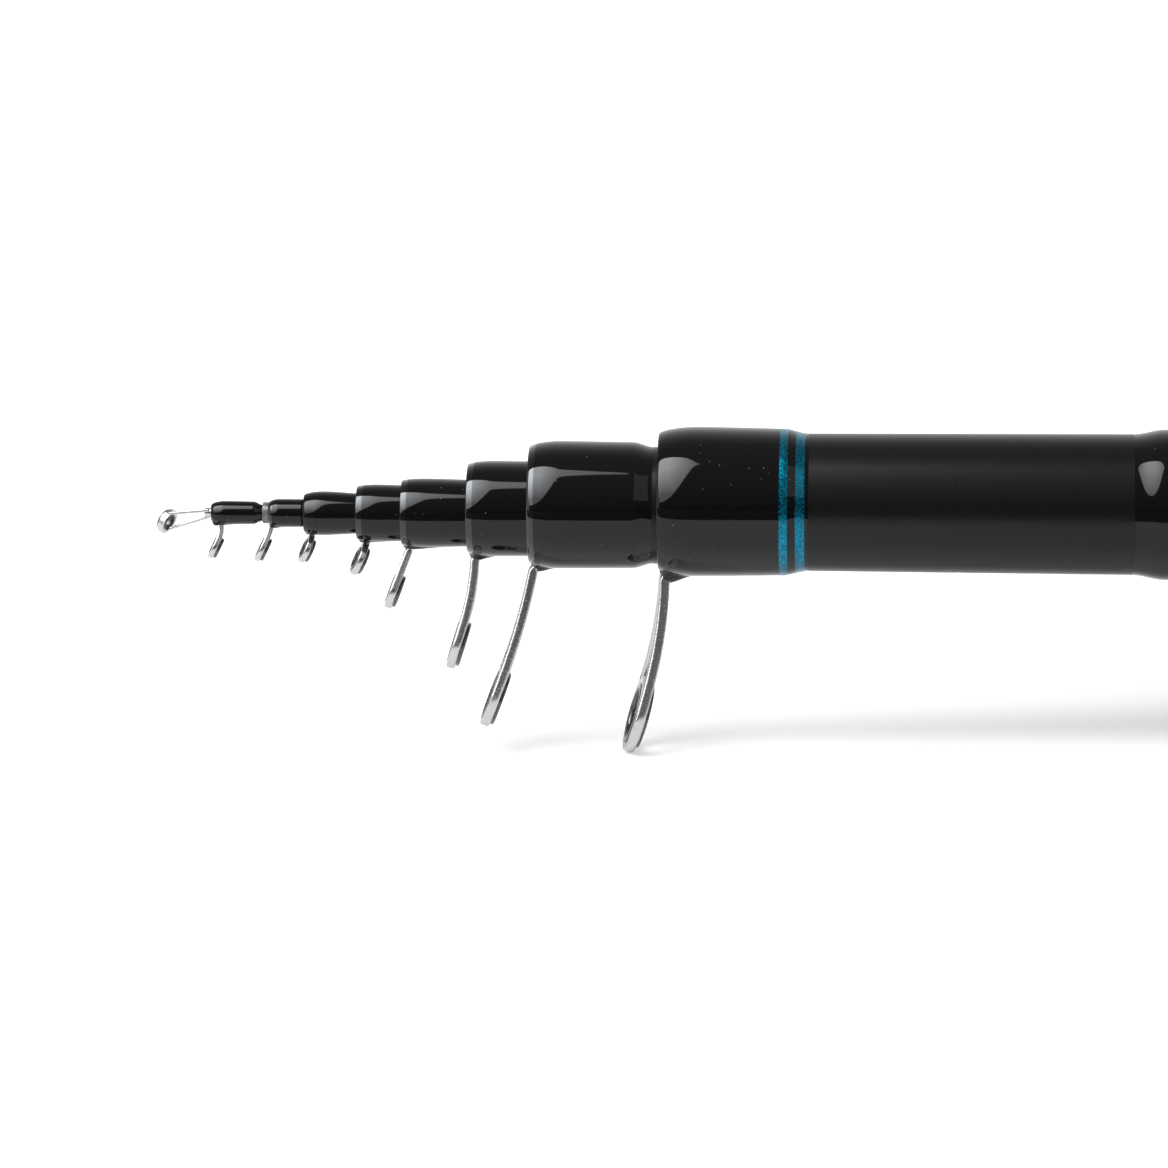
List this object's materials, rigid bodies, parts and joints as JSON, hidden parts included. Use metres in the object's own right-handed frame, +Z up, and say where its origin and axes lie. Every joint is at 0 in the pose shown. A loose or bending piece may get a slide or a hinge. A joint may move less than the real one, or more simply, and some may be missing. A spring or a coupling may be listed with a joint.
{
  "type": "telescopic fishing rod",
  "caption": "Closed telescopic fishing rod: nested carbon tube sections, each with a whipped mouth and a hanging line guide, a plate reel seat, a grip and a screw butt cap.",
  "frame": {"origin": "middle of the bumper's rear face, on the butt tube's axis", "axes": "+X along the rod toward the butt, so the tip is at -X; guides and reel seat hang at -Z; +Z up"},
  "size_m": [0.9736, 0.0256, 0.0506],
  "materials": {
    "carbon": "satin carbon fibre",
    "lacquer": "gloss clear coat over black thread",
    "trim": "metallic blue under gloss",
    "steel": "polished stainless steel",
    "ceramic": "polished ceramic",
    "glass_fibre": "gloss glass fibre",
    "grip_rubber": "matt, lightly textured",
    "rubber": "matt",
    "alloy": "anodised, satin",
    "nylon": "matt glass-filled nylon"
  },
  "bodies": {
    "butt": {"butt_tube": "carbon", "butt_whipping": "lacquer", "butt_trim_bands": "trim", "butt_mid_whipping": "lacquer", "guide_1_frame": "steel", "guide_1_ring": "ceramic", "grip_sleeve": "grip_rubber", "butt_bush": "alloy", "seat_plate": "nylon", "seat_front_whipping": "lacquer", "seat_rear_whipping": "lacquer", "fixed_hood": "steel"},
    "section_2": {"section_2_tube": "carbon", "section_2_whipping": "lacquer", "guide_2_frame": "steel", "guide_2_ring": "ceramic"},
    "section_3": {"section_3_tube": "carbon", "section_3_whipping": "lacquer", "guide_3_frame": "steel", "guide_3_ring": "ceramic"},
    "section_4": {"section_4_tube": "carbon", "section_4_whipping": "lacquer", "guide_4_frame": "steel", "guide_4_ring": "ceramic"},
    "section_5": {"section_5_tube": "carbon", "section_5_whipping": "lacquer", "guide_5_frame": "steel", "guide_5_ring": "ceramic"},
    "section_6": {"section_6_tube": "carbon", "section_6_whipping": "lacquer", "guide_6_frame": "steel", "guide_6_ring": "ceramic"},
    "tip": {"tip_blank": "carbon", "tip_top_tube": "steel", "tip_top_frame": "steel", "tip_top_ring": "ceramic"},
    "rear_sliding_guide": {"rear_sleeve": "glass_fibre", "rear_sleeve_whipping": "lacquer", "guide_7_frame": "steel", "guide_7_ring": "ceramic"},
    "front_sliding_guide": {"front_sleeve": "carbon", "front_sleeve_whipping": "lacquer", "guide_8_frame": "steel", "guide_8_ring": "ceramic"},
    "hood": {"sliding_hood": "steel", "lever_pin": "steel"},
    "lever": {"lock_lever": "nylon"},
    "pad": {"rear_pad": "rubber"},
    "cap": {"butt_cap": "alloy", "cap_seal": "rubber", "cap_bumper": "rubber"}
  },
  "joints": [
    {"name": "section_2_slide", "type": "slide", "parent": "butt", "child": "section_2", "axis": [-1, 0, 0.0008], "range_m": [0, 0.80165]},
    {"name": "section_3_slide", "type": "slide", "parent": "section_2", "child": "section_3", "axis": [-1, 0, 0.0008], "range_m": [0, 0.82575]},
    {"name": "section_4_slide", "type": "slide", "parent": "section_3", "child": "section_4", "axis": [-1, 0, 0.0009], "range_m": [0, 0.83985]},
    {"name": "section_5_slide", "type": "slide", "parent": "section_4", "child": "section_5", "axis": [-1, 0, 0.0001], "range_m": [0, 0.85465]},
    {"name": "section_6_slide", "type": "slide", "parent": "section_5", "child": "section_6", "axis": [-1, 0, 0.0001], "range_m": [0, 0.8663]},
    {"name": "tip_slide", "type": "slide", "parent": "section_6", "child": "tip", "axis": [-1, 0, 0], "range_m": [0, 0.8742]},
    {"name": "rear_guide_slide", "type": "slide", "parent": "tip", "child": "rear_sliding_guide", "axis": [1, 0, 0], "range_m": [0, 0.4886]},
    {"name": "front_guide_slide", "type": "slide", "parent": "tip", "child": "front_sliding_guide", "axis": [1, 0, 0], "range_m": [0, 0.2046]},
    {"name": "hood_slide", "type": "slide", "parent": "butt", "child": "hood", "axis": [1, 0, 0], "range_m": [0, 0.014]},
    {"name": "lever_flip", "type": "hinge", "parent": "hood", "child": "lever", "pos_m": [-0.4154, 0, -0.0165], "axis": [0, -1, 0], "range_deg": [0, 85]},
    {"name": "pad_slide", "type": "slide", "parent": "butt", "child": "pad", "axis": [1, 0, 0], "range_m": [0, 0.012]},
    {"name": "cap_turn", "type": "hinge", "parent": "pad", "child": "cap", "pos_m": [0, 0, 0], "axis": [1, 0, 0], "range_deg": [0, 1440]}
  ],
  "couplings": [
    {"joint": "rear_guide_slide", "follows": "tip_slide", "ratio": 0.55891},
    {"joint": "front_guide_slide", "follows": "tip_slide", "ratio": 0.23404},
    {"joint": "pad_slide", "follows": "cap_turn", "m_per_rad": 0.00047746}
  ]
}
